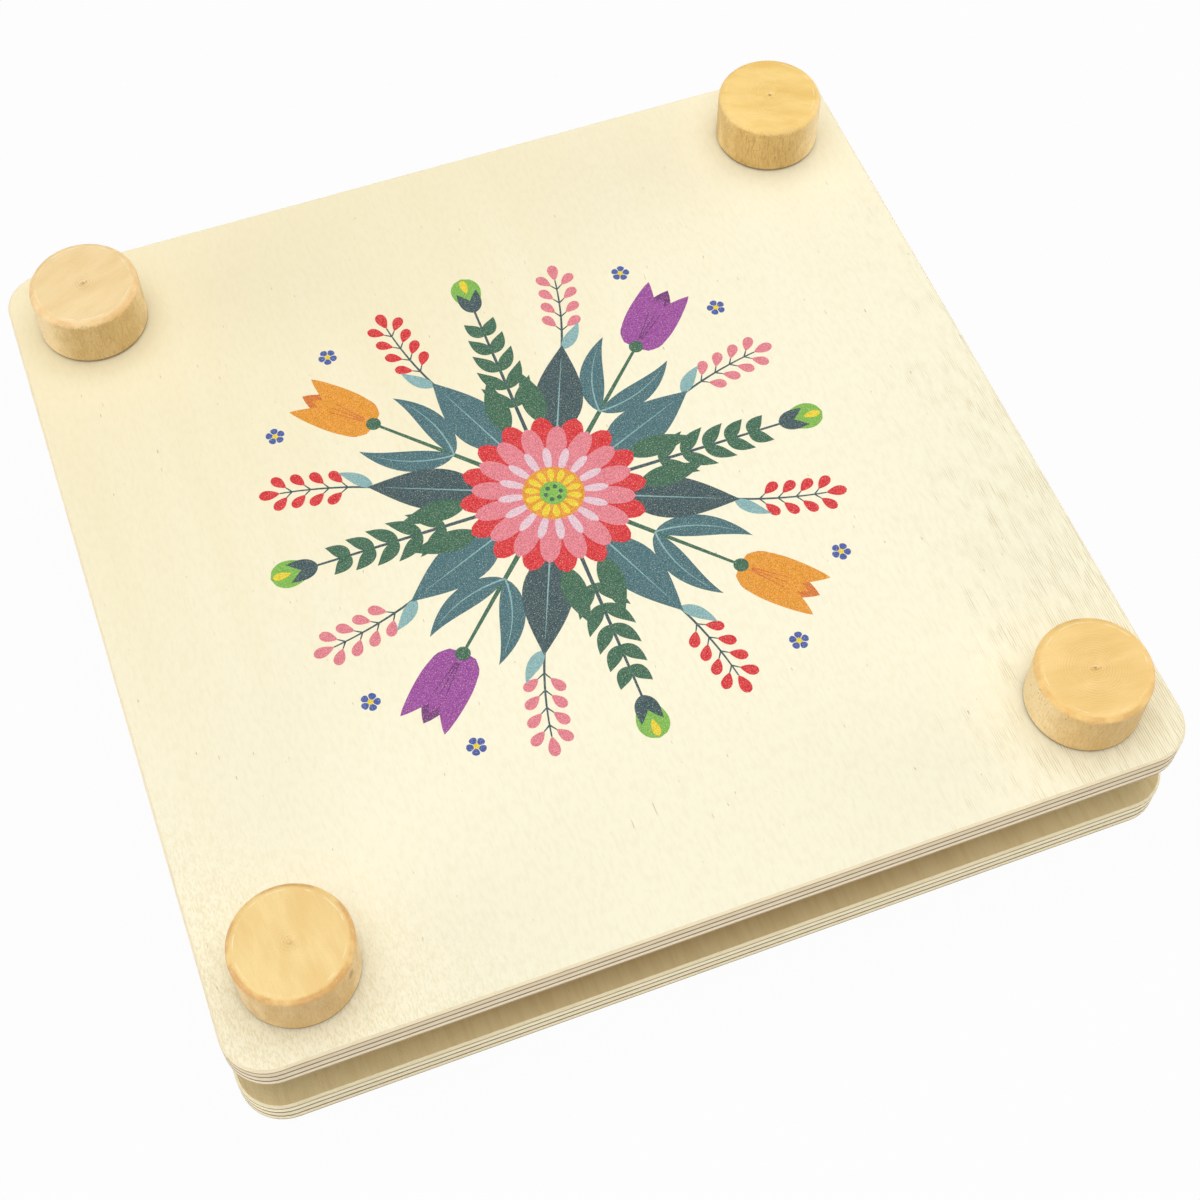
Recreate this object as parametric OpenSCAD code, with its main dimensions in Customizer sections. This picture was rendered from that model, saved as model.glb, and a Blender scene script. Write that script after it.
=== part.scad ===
// A flower press: two square plywood boards that four wooden knobs, each turning on a bolt,
// draw together over a stack of corrugated cards and blotting sheets.
// The origin is the centre of the underside, +Z is up and the front edge faces -Y.

/* [Boards] */
// Width of both boards, left to right
board_w = 160; // [150:1:200]
// Depth of both boards, front to back
board_d = 160; // [150:1:200]
// Thickness of each board
board_t = 6; // [5:0.5:9]
// Radius of the boards' corners
board_corner_r = 7.5; // [4:0.5:12]
// Easing of the boards' sharp edges
board_easing = 0.4; // [0.2:0.1:0.8]

/* [Bolts] */
// Distance from the boards' edges to each bolt's axis
bolt_inset = 14.25; // [12:0.25:18]
// Diameter over the thread
bolt_d = 6; // [5:0.5:6]
// Diameter of the domed head
bolt_head_d = 14; // [12:0.5:16]
// Height of the head, dome and rim
bolt_head_t = 2.2; // [1.8:0.1:2.6]
// Height of the head's straight rim
bolt_rim_t = 0.8; // [0.5:0.1:1]
// Side of the square neck under the head
bolt_neck_w = 6.4; // [6.2:0.1:7]
// Length of the tapered lead at the tip
bolt_tip_taper = 0.8; // [0.4:0.1:1.2]

/* [Knobs] */
// Diameter of a knob
knob_d = 19.2; // [17:0.1:22]
// Height of a knob
knob_h = 10.4; // [9:0.1:14]
// Rounding of a knob's top edge
knob_rounding = 1.3; // [0.6:0.1:2]
// Easing of a knob's bottom edge
knob_easing = 0.4; // [0.2:0.1:0.8]
// Wood left above the blind bore
knob_cap_t = 1.8; // [1.5:0.1:3]
// Diameter of the small turning nib on top
knob_nib_d = 0.8; // [0.5:0.1:1.5]
// Height of the turning nib
knob_nib_h = 0.3; // [0.2:0.1:0.6]

/* [Threaded inserts] */
// Wall of the barrel
insert_wall = 1.45; // [1.2:0.05:1.8]
// Width of the flange beyond the barrel
insert_flange_w = 1; // [0.6:0.1:1.4]
// Thickness of the flange
insert_flange_t = 0.8; // [0.6:0.1:1.2]
// Depth of the barbs that hold the insert in the wood
insert_barb_depth = 0.3; // [0.2:0.05:0.4]
// Height of one barb
insert_barb_h = 1.2; // [0.8:0.1:2]
// Lead chamfer at both ends of the threaded bore
insert_lead = 0.4; // [0.2:0.1:0.6]

/* [Stack of cards and sheets] */
// Number of layers that flowers are laid in
layer_count = 4; // [3:1:5]
// Number of blotting sheets in each layer
sheets_per_layer = 2; // [2:1:4]
// Margin from the boards' edges to the cards
card_margin = 11; // [9:0.5:13]
// Thickness of a corrugated card
card_t = 1.6; // [1.5:0.1:3]
// Thickness of each flat paper liner of a card
liner_t = 0.25; // [0.2:0.05:0.35]
// Thickness of the fluted paper between the liners
flute_t = 0.25; // [0.2:0.05:0.35]
// Distance from one flute to the next
flute_pitch = 3.3; // [3:0.1:5]
// Thickness of a blotting sheet
sheet_t = 0.375; // [0.3:0.025:0.8]
// Distance by which a sheet's edge lies behind a card's edge
sheet_setback = 1; // [0.5:0.25:3]

/* [Clearances] */
// Round a bolt in the top board's hole
board_hole_clearance = 0.5; // [0.4:0.1:0.8]
// Round a bolt's head in its recess
head_clearance = 0.3; // [0.2:0.1:0.5]
// Depth of a head's crown inside the underside
head_sink = 0.3; // [0.2:0.1:0.6]
// On each side of the square neck, and beyond its end
neck_clearance = 0.1; // [0.05:0.05:0.2]
// Round a bolt in the insert's thread
thread_clearance = 0.05; // [0.04:0.01:0.08]
// Round an insert in its knob
insert_clearance = 0.05; // [0.03:0.01:0.08]
// Depth of an insert's flange inside the knob's underside
insert_sink = 0.2; // [0.1:0.05:0.4]
// Between an insert and the end of the knob's bore
insert_end_gap = 1; // [0.5:0.1:1.5]
// Between a bolt's tip and the end of the knob's bore
bolt_end_gap = 1.2; // [1:0.1:2.5]
// Between a bolt and the cut corners of the stack
stack_bolt_gap = 2.5; // [1:0.25:4]

/* [Hidden] */
corner_names = ["front_left", "front_right", "back_left", "back_right"];
corner_side_shares = [[-1, -1], [1, -1], [-1, 1], [1, 1]];
corner_last = len(corner_names) - 1;
card_count = layer_count + 1;
sheet_count = sheets_per_layer * layer_count;

// Curves
$fn = 64;
cut_overrun = 0.5;

// Heights, from the underside up
layer_pitch = card_t + sheets_per_layer * sheet_t;
stack_h = card_count * card_t + sheet_count * sheet_t;
top_board_z = board_t + stack_h;
knob_z = top_board_z + board_t;
knob_bore_end = knob_h - knob_cap_t;
recess_depth = head_sink + bolt_head_t;
bolt_tip_z = knob_z + knob_bore_end - bolt_end_gap;

// Places across the boards
bolt_x = board_w / 2 - bolt_inset;
bolt_y = board_d / 2 - bolt_inset;
corner_cut_reach = bolt_x + bolt_y - sqrt(2) * (bolt_d / 2 + stack_bolt_gap);

// Radii that fit in each other
bolt_r = bolt_d / 2;
head_r = bolt_head_d / 2;
insert_bore_r = bolt_r + thread_clearance;
insert_r = insert_bore_r + insert_wall;
flange_r = insert_r + insert_flange_w;

// Parts of one flute, as shares of the pitch, from the middle of an arch to where it is glued down
arch_shares = [-0.4, -0.2, 0, 0.2, 0.4];
edge_flutes_left_whole = 1;

plywood_colour = [0.96, 0.92, 0.81];
knob_colour = [0.93, 0.80, 0.55];
steel_colour = [0.72, 0.73, 0.74];
brass_colour = [0.80, 0.66, 0.36];
card_colour = [0.72, 0.56, 0.38];
sheet_colour = [0.95, 0.94, 0.90];

module at_corner(i) {
    translate([corner_side_shares[i][0] * bolt_x, corner_side_shares[i][1] * bolt_y, 0])
        children();
}

// Cross-section of a plate with all four edges eased, centred left to right
module eased_section(w, t, e) {
    polygon([
        [-w / 2 + e, 0], [w / 2 - e, 0], [w / 2, e], [w / 2, t - e],
        [w / 2 - e, t], [-w / 2 + e, t], [-w / 2, t - e], [-w / 2, e]
    ]);
}

// Plate with round corners and eased edges
module eased_plate(w, d, t, r, e) {
    rotate([90, 0, 0])
        linear_extrude(height = d - 2 * r, center = true)
            eased_section(w, t, e);
    rotate([90, 0, 90])
        linear_extrude(height = w - 2 * r, center = true)
            eased_section(d, t, e);
    for (sides = corner_side_shares)
        translate([sides[0] * (w / 2 - r), sides[1] * (d / 2 - r), 0])
            rotate_extrude()
                polygon([[0, 0], [r - e, 0], [r, e], [r, t - e], [r - e, t], [0, t]]);
}

module board_blank() {
    eased_plate(board_w, board_d, board_t, board_corner_r, board_easing);
}

// Lower board, with a recess and a square socket for each bolt
module bottom_board() {
    socket_w = bolt_neck_w + 2 * neck_clearance;
    color(plywood_colour)
        difference() {
            board_blank();
            for (i = [0 : corner_last])
                at_corner(i) {
                    translate([0, 0, -cut_overrun])
                        cylinder(h = recess_depth + cut_overrun, r = head_r + head_clearance);
                    translate([-socket_w / 2, -socket_w / 2, 0])
                        cube([socket_w, socket_w, board_t + cut_overrun]);
                }
        }
}

// Upper board, which slides on the bolts
module top_board() {
    color(plywood_colour)
        translate([0, 0, top_board_z])
            difference() {
                board_blank();
                for (i = [0 : corner_last])
                    at_corner(i)
                        translate([0, 0, -cut_overrun])
                            cylinder(h = board_t + 2 * cut_overrun, r = bolt_r + board_hole_clearance);
            }
}

// Coach bolt: domed head up in its recess, square neck in its socket, tip inside the knob
module bolt(i) {
    dome_h = bolt_head_t - bolt_rim_t;
    dome_r = (head_r * head_r + dome_h * dome_h) / (2 * dome_h);
    color(steel_colour)
        at_corner(i) {
            rotate_extrude()
                intersection() {
                    translate([0, head_sink + dome_r])
                        circle(r = dome_r);
                    translate([0, head_sink])
                        square([head_r, bolt_head_t]);
                }
            translate([-bolt_neck_w / 2, -bolt_neck_w / 2, recess_depth - bolt_rim_t])
                cube([bolt_neck_w, bolt_neck_w, board_t - neck_clearance - recess_depth + bolt_rim_t]);
            rotate_extrude()
                polygon([
                    [0, recess_depth - bolt_rim_t], [bolt_r, recess_depth - bolt_rim_t],
                    [bolt_r, bolt_tip_z - bolt_tip_taper], [bolt_r - bolt_tip_taper, bolt_tip_z],
                    [0, bolt_tip_z]
                ]);
        }
}

// Turned knob: a low drum, rounded on top, with a blind bore for its insert
module knob(i) {
    knob_r = knob_d / 2;
    color(knob_colour)
        at_corner(i)
            translate([0, 0, knob_z])
                rotate_extrude()
                    difference() {
                        union() {
                            polygon([
                                [0, 0], [knob_r - knob_easing, 0], [knob_r, knob_easing],
                                [knob_r, knob_h - knob_rounding], [0, knob_h - knob_rounding]
                            ]);
                            translate([knob_r - knob_rounding, knob_h - knob_rounding])
                                circle(r = knob_rounding);
                            square([knob_r - knob_rounding, knob_h]);
                            square([knob_nib_d / 2, knob_h + knob_nib_h]);
                        }
                        translate([0, -cut_overrun])
                            square([insert_r + insert_clearance, knob_bore_end + cut_overrun]);
                        translate([0, -cut_overrun])
                            square([
                                flange_r + insert_clearance,
                                insert_sink + insert_flange_t + cut_overrun
                            ]);
                    }
}

// Brass insert: flange at the mouth, barbed barrel and a threaded bore right through
module insert(i) {
    flange_top = insert_sink + insert_flange_t;
    insert_top = knob_bore_end - insert_end_gap;
    barb_count = floor((insert_top - flange_top) / insert_barb_h);
    barb_pitch = (insert_top - flange_top) / barb_count;
    color(brass_colour)
        at_corner(i)
            translate([0, 0, knob_z])
                rotate_extrude()
                    polygon(concat(
                        [
                            [insert_bore_r, insert_sink + insert_lead],
                            [insert_bore_r + insert_lead, insert_sink],
                            [flange_r, insert_sink], [flange_r, flange_top]
                        ],
                        [
                            for (barb = [0 : barb_count - 1], end = [0, 1])
                                [insert_r - end * insert_barb_depth, flange_top + (barb + end) * barb_pitch]
                        ],
                        [
                            [insert_bore_r + insert_lead, insert_top],
                            [insert_bore_r, insert_top - insert_lead]
                        ]
                    ));
}

// Outline of a card or sheet, its corners cut off to pass the bolts
module cut_corner_outline(setback) {
    x = board_w / 2 - card_margin - setback;
    y = board_d / 2 - card_margin - setback;
    cut = x + y - corner_cut_reach;
    polygon([
        [x - cut, -y], [x, cut - y], [x, y - cut], [x - cut, y],
        [cut - x, y], [-x, y - cut], [-x, cut - y], [cut - x, -y]
    ]);
}

// Cross-section of a fluted card: two liners with a wave of paper between them
module fluted_section() {
    w = board_w - 2 * card_margin;
    swing = (card_t - 2 * liner_t - flute_t) / 2;
    flute_count = floor(w / flute_pitch) - edge_flutes_left_whole;
    difference() {
        translate([-w / 2, 0])
            square([w, card_t]);
        for (f = [0 : flute_count - 1])
            translate([(f - (flute_count - 1) / 2) * flute_pitch, 0]) {
                arch(swing);
                translate([flute_pitch / 2, card_t])
                    mirror([0, 1])
                        arch(swing);
            }
    }
}

// Hollow under one arch of the wave, standing on a liner
module arch(swing) {
    polygon(concat(
        [[arch_shares[0] * flute_pitch, liner_t]],
        [
            for (share = arch_shares)
                [share * flute_pitch, liner_t + swing * (1 + cos(share * 360))]
        ],
        [[arch_shares[len(arch_shares) - 1] * flute_pitch, liner_t]]
    ));
}

// Corrugated card number i from below; its flutes run front to back
module card(i) {
    color(card_colour)
        translate([0, 0, board_t + (i - 1) * layer_pitch])
            intersection() {
                rotate([90, 0, 0])
                    linear_extrude(height = board_d, center = true)
                        fluted_section();
                linear_extrude(height = card_t)
                    cut_corner_outline(0);
            }
}

// Blotting sheet number i from below; a few lie on each card but the top one
module blotter(i) {
    layer = floor((i - 1) / sheets_per_layer);
    place_in_layer = (i - 1) % sheets_per_layer;
    color(sheet_colour)
        translate([0, 0, board_t + layer * layer_pitch + card_t + place_in_layer * sheet_t])
            linear_extrude(height = sheet_t)
                cut_corner_outline(sheet_setback);
}

bottom_board();
top_board();
for (i = [0 : corner_last])
    bolt(i);
for (i = [0 : corner_last])
    knob(i);
for (i = [0 : corner_last])
    insert(i);
for (i = [1 : card_count])
    card(i);
for (i = [1 : sheet_count])
    blotter(i);
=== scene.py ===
"""Dresses the flower press: raw plywood boards, turned knobs, bolts, the stack and a printed design."""

import math

import bmesh
import bpy
from mathutils import Matrix, Vector


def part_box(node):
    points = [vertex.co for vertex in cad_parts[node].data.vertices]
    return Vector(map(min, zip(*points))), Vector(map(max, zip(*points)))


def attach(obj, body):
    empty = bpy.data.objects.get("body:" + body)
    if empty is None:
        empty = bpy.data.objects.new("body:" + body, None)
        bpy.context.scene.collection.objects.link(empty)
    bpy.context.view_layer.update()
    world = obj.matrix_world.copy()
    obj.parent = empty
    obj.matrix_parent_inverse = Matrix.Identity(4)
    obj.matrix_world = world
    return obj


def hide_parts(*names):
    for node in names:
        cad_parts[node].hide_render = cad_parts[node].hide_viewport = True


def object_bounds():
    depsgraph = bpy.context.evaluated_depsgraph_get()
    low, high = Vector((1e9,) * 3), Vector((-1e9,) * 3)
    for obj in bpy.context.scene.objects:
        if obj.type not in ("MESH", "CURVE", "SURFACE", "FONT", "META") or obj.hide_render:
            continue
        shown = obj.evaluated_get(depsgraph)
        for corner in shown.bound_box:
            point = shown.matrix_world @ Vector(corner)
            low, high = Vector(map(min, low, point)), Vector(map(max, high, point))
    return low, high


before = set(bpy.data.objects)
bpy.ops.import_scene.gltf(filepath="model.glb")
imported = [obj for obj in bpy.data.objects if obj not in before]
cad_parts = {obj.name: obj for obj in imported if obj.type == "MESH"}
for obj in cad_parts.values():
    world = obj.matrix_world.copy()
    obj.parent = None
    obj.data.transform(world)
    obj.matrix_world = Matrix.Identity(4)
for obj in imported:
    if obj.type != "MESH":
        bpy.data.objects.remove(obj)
cad_low, cad_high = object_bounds()

MM = 0.001
CORNERS = ("front_left", "front_right", "back_left", "back_right")

# Boards, from the frame
lid_low, lid_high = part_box("top_board")
base_low, base_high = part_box("bottom_board")
BOARD_T = lid_high.z - lid_low.z
BOARD_W = lid_high.x - lid_low.x


def corner_axis(corner):
    """Where a corner's knob and bolt have their axis."""
    low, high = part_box(f"knob_{corner}")
    return (low.x + high.x) / 2, (low.y + high.y) / 2


def rgb(red, green, blue):
    """A colour as seen on a screen, 0 to 255, as the linear colour that a shader takes."""
    values = [v / 255 for v in (red, green, blue)]
    return [v / 12.92 if v <= 0.04045 else ((v + 0.055) / 1.055) ** 2.4 for v in values] + [1.0]


def put(tree, socket, value):
    """Sets a socket to a value, or links it to another node's output."""
    if isinstance(value, bpy.types.NodeSocket):
        tree.links.new(value, socket)
    else:
        socket.default_value = value


def add_node(tree, kind, inputs=None, **settings):
    """A node with its settings; inputs maps the name or number of a socket to a value or an output."""
    node = tree.nodes.new(kind)
    for name, value in settings.items():
        setattr(node, name, value)
    for name, value in (inputs or {}).items():
        put(tree, node.inputs[name], value)
    return node


class Finish:
    """A node material, with short ways to add the nodes that the finishes share."""

    def __init__(self, name, roughness, metallic=0.0, specular=0.5):
        self.material = bpy.data.materials.new(name)
        self.material.use_nodes = True
        self.tree = self.material.node_tree
        self.shader = self.tree.nodes["Principled BSDF"]
        self.set("Roughness", roughness)
        self.set("Metallic", metallic)
        self.set("Specular IOR Level", specular)
        self.place = self.new("ShaderNodeTexCoord").outputs["Object"]

    def new(self, kind, inputs=None, **settings):
        return add_node(self.tree, kind, inputs, **settings)

    def set(self, name, value):
        """Gives a socket of the shader a value or an output."""
        put(self.tree, self.shader.inputs[name], value)

    def calc(self, operation, *values):
        """A step of arithmetic; each value is a number or another node's output."""
        return self.new("ShaderNodeMath", dict(enumerate(values)), operation=operation).outputs[0]

    def plus(self, first, second):
        return self.calc("ADD", first, second)

    def minus(self, first, second):
        return self.calc("SUBTRACT", first, second)

    def times(self, first, second):
        return self.calc("MULTIPLY", first, second)

    def over(self, first, second):
        return self.calc("DIVIDE", first, second)

    def level(self, value, low, high):
        """0 at low, 1 at high and smooth between."""
        inputs = {"Value": value, "From Min": low, "From Max": high}
        return self.new("ShaderNodeMapRange", inputs, interpolation_type="SMOOTHSTEP").outputs[0]

    def waves(self, distance, pitch):
        """Fine lines one pitch apart along a distance, 0 between them and 1 on them."""
        turn = self.over(distance, pitch)
        return self.level(self.calc("SINE", self.times(turn, 2 * math.pi)), 0.0, 1.0)

    def noise(self, size, stretch=(1, 1, 1), detail=2.0, seed=0.0):
        """Noise from 0 to 1 in blotches about size metres wide, longer along an axis by its stretch."""
        scale = [1 / (size * share) for share in stretch]
        place = self.new("ShaderNodeMapping", {"Vector": self.place, "Location": [seed] * 3, "Scale": scale})
        inputs = {"Vector": place.outputs[0], "Scale": 1.0, "Detail": detail}
        return self.new("ShaderNodeTexNoise", inputs).outputs[0]

    def blend(self, share, first, second):
        return self.new("ShaderNodeMix", {0: share, 6: first, 7: second}, data_type="RGBA").outputs[2]

    def tint(self, colour, towards, where, share):
        """A colour moved towards another by a share, as far as where is 1."""
        return self.blend(self.times(where, share), colour, towards)

    def bands(self, value, stops):
        """A colour for each stretch of value; stops are pairs of where it starts and the colour."""
        node = self.new("ShaderNodeValToRGB", {0: value})
        ramp = node.color_ramp
        ramp.interpolation = "CONSTANT"
        while len(ramp.elements) < len(stops):
            ramp.elements.new(1.0)
        for element, (start, colour) in zip(ramp.elements, stops):
            element.position = start
            element.color = colour
        return node.outputs[0]

    def parts(self, vector):
        return self.new("ShaderNodeSeparateXYZ", {0: vector}).outputs

    def facing_up(self):
        """1 on a face that looks up, 0 on an upright one and -1 on one that looks down."""
        return self.parts(self.new("ShaderNodeTexCoord").outputs["Normal"])[2]

    def bump(self, height, depth):
        self.set("Normal", self.new("ShaderNodeBump", {"Height": height, "Distance": depth}).outputs[0])


# Veneer and ply colours
VENEER = rgb(249, 243, 216)
VENEER_WARM = rgb(243, 232, 196)
VENEER_FIBRE = rgb(229, 214, 172)
VENEER_MARK = rgb(204, 187, 138)
VENEER_PORE = rgb(176, 150, 108)
VENEER_PIT = rgb(214, 190, 118)
# A browner back veneer for the faces under and inside the press, its darkness partly painted shade
SHADED_BACK_VENEER = rgb(234, 215, 166)
SHADED_BACK_VENEER_DARK = rgb(228, 206, 154)
GLUE_LINE = rgb(128, 98, 58)
FACE_LINE = rgb(176, 150, 108)
ARRIS = rgb(214, 192, 150)
UPPER_PLIES = {
    "lowest": rgb(255, 248, 224), "lower_core": rgb(246, 232, 204), "middle": rgb(238, 224, 194),
    "upper_core": rgb(236, 219, 188), "face": rgb(242, 228, 196),
}
# The lower board's plies, mostly paler than the upper's: painted light for the extra light thrown up onto
# the lower edges
LOWER_PLIES_WITH_PAINTED_LIGHT = {
    "lowest": rgb(248, 232, 190), "lower_core": rgb(252, 243, 206), "middle": rgb(250, 238, 204),
    "upper_core": rgb(254, 247, 214), "face": rgb(254, 247, 214),
}

# Where each ply starts from the underside up, as shares of the board's thickness
PLY_START_SHARES = {"lower_core": 0.083, "middle": 0.33, "upper_core": 0.625, "face": 0.895}
GLUE_SHARE = 0.076
PLY_WAVER_SHARE = 0.022
LID_SEED = 4.0
BASE_SEED = 31.0

# Where the veneer gets warmer, towards the back left corner
WARMTH_SLOPE = 0.6
WARMTH_DRIFT = 60 * MM
WARMTH_FULL = 130 * MM

# Marks that sanding left, towards the front right corner
MARK_PITCH = 0.4 * MM
MARK_DRIFT = 1.5
MARK_WAVE_SHARE = 0.3
MARK_SLOPE = 0.3
MARK_PATCH_REACH = 80 * MM
MARKS_START = 104 * MM
MARKS_FULL = 136 * MM

# Pits in the veneer, towards the front left corner
PITS_START = 94 * MM
PITS_FULL = 142 * MM


def sanding_marks(finish, seed):
    """Fine lines along the grain, in patches that close up towards the front right corner."""
    x, y, _ = finish.parts(finish.place)
    drift = finish.noise(6 * MM, stretch=(1, 8, 1), detail=1, seed=seed + 19)
    turn = finish.plus(finish.over(x, MARK_PITCH), finish.times(drift, MARK_DRIFT))
    wave = finish.calc("SINE", finish.times(turn, 2 * math.pi))
    scratch = finish.noise(0.3 * MM, stretch=(1, 12, 1), detail=1, seed=seed + 37)
    line = finish.level(finish.plus(scratch, finish.times(wave, MARK_WAVE_SHARE)), 0.52, 0.82)
    patch = finish.noise(1.8 * MM, stretch=(1, 3, 1), detail=2, seed=seed + 7)
    to_front_right = finish.minus(x, finish.times(y, MARK_SLOPE))
    near = finish.plus(to_front_right, finish.times(patch, MARK_PATCH_REACH))
    return finish.times(line, finish.level(near, MARKS_START, MARKS_FULL))


def veneer_pits(finish, seed):
    """Small pits in the veneer towards the front left corner."""
    x, y, _ = finish.parts(finish.place)
    pit = finish.noise(0.22 * MM, stretch=(1, 3, 1), detail=3, seed=seed + 41)
    to_front_left = finish.times(finish.plus(x, y), -1.0)
    return finish.times(finish.level(pit, 0.47, 0.62), finish.level(to_front_left, PITS_START, PITS_FULL))


def veneer(finish, seed):
    """Colour and height of the boards' face veneer, whose grain runs front to back."""
    x, y, _ = finish.parts(finish.place)
    broad = finish.noise(7 * MM, stretch=(1, 14, 1), detail=2, seed=seed)
    mottle = finish.noise(0.7 * MM, stretch=(1, 2.5, 1), detail=3, seed=seed + 3)
    fibre = finish.noise(0.2 * MM, stretch=(1, 30, 1), detail=3, seed=seed + 13)
    pore = finish.noise(0.26 * MM, stretch=(1, 6, 1), detail=0, seed=seed + 29)
    marks = sanding_marks(finish, seed)
    pits = veneer_pits(finish, seed)
    to_back_left = finish.minus(y, finish.times(x, WARMTH_SLOPE))
    warmth = finish.level(finish.plus(to_back_left, finish.times(broad, WARMTH_DRIFT)), 0.0, WARMTH_FULL)
    colour = finish.blend(warmth, VENEER, VENEER_WARM)
    colour = finish.tint(colour, VENEER_FIBRE, where=finish.level(mottle, 0.4, 0.7), share=0.16)
    colour = finish.tint(colour, VENEER_FIBRE, where=finish.level(fibre, 0.45, 0.8), share=0.16)
    colour = finish.tint(colour, VENEER_MARK, where=marks, share=0.58)
    colour = finish.tint(colour, VENEER_PIT, where=pits, share=0.3)
    colour = finish.tint(colour, VENEER_PORE, where=finish.level(pore, 0.87, 0.91), share=0.6)
    height = finish.minus(finish.times(fibre, 0.4), finish.calc("MAXIMUM", marks, pits))
    return colour, height


def shaded_back_veneer(finish, seed):
    """Colour of the boards' other faces, a browner back veneer, darker partly as painted shade, with darker
    streaks front to back.
    """
    streak = finish.noise(1.0 * MM, stretch=(1, 9, 1), detail=3, seed=seed + 51)
    fibre = finish.noise(0.3 * MM, stretch=(1, 24, 1), detail=3, seed=seed + 53)
    blot = finish.noise(0.4 * MM, stretch=(1, 2, 1), detail=3, seed=seed + 57)
    colour = finish.blend(finish.level(streak, 0.35, 0.7), SHADED_BACK_VENEER, SHADED_BACK_VENEER_DARK)
    colour = finish.tint(colour, ARRIS, where=finish.level(fibre, 0.5, 0.8), share=0.24)
    return finish.tint(colour, VENEER_PORE, where=finish.level(blot, 0.62, 0.8), share=0.35)


def ply_stops(tones):
    """Bands of an edge from the underside up, with a glue line between plies, fainter next to the faces."""
    stops = [(0.0, tones["lowest"])]
    for ply, start in PLY_START_SHARES.items():
        line = GLUE_LINE if ply in ("middle", "upper_core") else FACE_LINE
        stops.append((start - GLUE_SHARE / 2, line))
        stops.append((start + GLUE_SHARE / 2, tones[ply]))
    return stops


def ply_edge(finish, low_z, tones, seed):
    """Colour and height of a board's upright edge: plies and glue lines, with streaks and clouds."""
    ragged = finish.noise(1.1 * MM, stretch=(4, 4, 0.5), detail=2, seed=seed + 3)
    streak = finish.noise(0.13 * MM, stretch=(10, 10, 1), detail=3, seed=seed + 5)
    cloud = finish.noise(4 * MM, stretch=(2, 2, 0.3), detail=2, seed=seed + 9)
    share = finish.over(finish.minus(finish.parts(finish.place)[2], low_z), BOARD_T)
    share = finish.plus(share, finish.times(finish.minus(ragged, 0.5), PLY_WAVER_SHARE))
    colour = finish.bands(share, ply_stops(tones))
    colour = finish.tint(colour, VENEER_PORE, where=finish.level(streak, 0.5, 0.78), share=0.26)
    colour = finish.tint(colour, ARRIS, where=finish.level(cloud, 0.52, 0.75), share=0.22)
    return colour, finish.times(streak, 0.6)


def plywood(name, low_z, tones, seed, fair_top):
    """Plywood: veneer on level faces and the plies on upright ones; with fair_top the top has the better
    veneer, and other level faces a back veneer darkened partly by painted shade.
    """
    finish = Finish(name, roughness=0.62, specular=0.25)
    face, face_height = veneer(finish, seed)
    edge, edge_height = ply_edge(finish, low_z, tones, seed)
    normal_z = finish.facing_up()
    if fair_top:
        face = finish.blend(finish.level(normal_z, -0.2, 0.2), shaded_back_veneer(finish, seed), face)
    else:
        face = shaded_back_veneer(finish, seed)
    level = finish.calc("ABSOLUTE", normal_z)
    arris = finish.times(finish.level(level, 0.2, 0.6), finish.level(level, 0.97, 0.85))
    colour = finish.blend(finish.level(level, 0.6, 0.95), edge, face)
    finish.set("Base Color", finish.tint(colour, ARRIS, where=arris, share=0.2))
    finish.bump(finish.plus(face_height, edge_height), 0.03 * MM)
    return finish.material


# Knob: the bore and rounding of its solid, and the dish, pit and curl that this script adds
KNOB_BORE_R = 4.55 * MM
KNOB_BORE_END = 8.6 * MM
KNOB_FLANGE_R = 5.55 * MM
KNOB_FLANGE_END = 1.0 * MM
KNOB_EASING = 0.4 * MM
KNOB_ROUNDING = 1.3 * MM
KNOB_DISH = 0.05 * MM
KNOB_NIB_H = 0.3 * MM
KNOB_STEPS = 144
ROUNDING_STEPS = 10
KNOB_SMOOTH_ANGLE = 40
PIT_R = 0.32 * MM
PIT_FLOOR_R = PIT_R / 2
PIT_DARK_R = PIT_R * 0.6
PIT_DEPTH = 0.18 * MM
DISH_R = PIT_R * 6
CURL_STEPS = 14
CURL_SIDES = 6
CURL_TURN = math.radians(170)
CURL_CLOSING_SHARE = 0.4
CURL_THICKNESS_SHARE = 0.38
CURL_END_SHARE = 0.2
CURL_FLATNESS = 0.5

# Knob colours
KNOB_OCHRE = rgb(220, 166, 94)
KNOB_BROWN = rgb(170, 122, 62)
KNOB_PALE = rgb(255, 238, 200)
# Paler side colour: painted light on a knob's lit flank
KNOB_SIDE_LIT_FLANK = rgb(246, 222, 172)
# Painted shade at a knob's foot where it meets the board; also the colour of the crack by the curl
KNOB_CRACK_AND_FOOT_SHADE = rgb(96, 74, 46)
KNOB_PIT = rgb(128, 84, 36)
TORN_WOOD = rgb(255, 240, 205)
TORN_WOOD_DARK = rgb(240, 205, 145)
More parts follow.
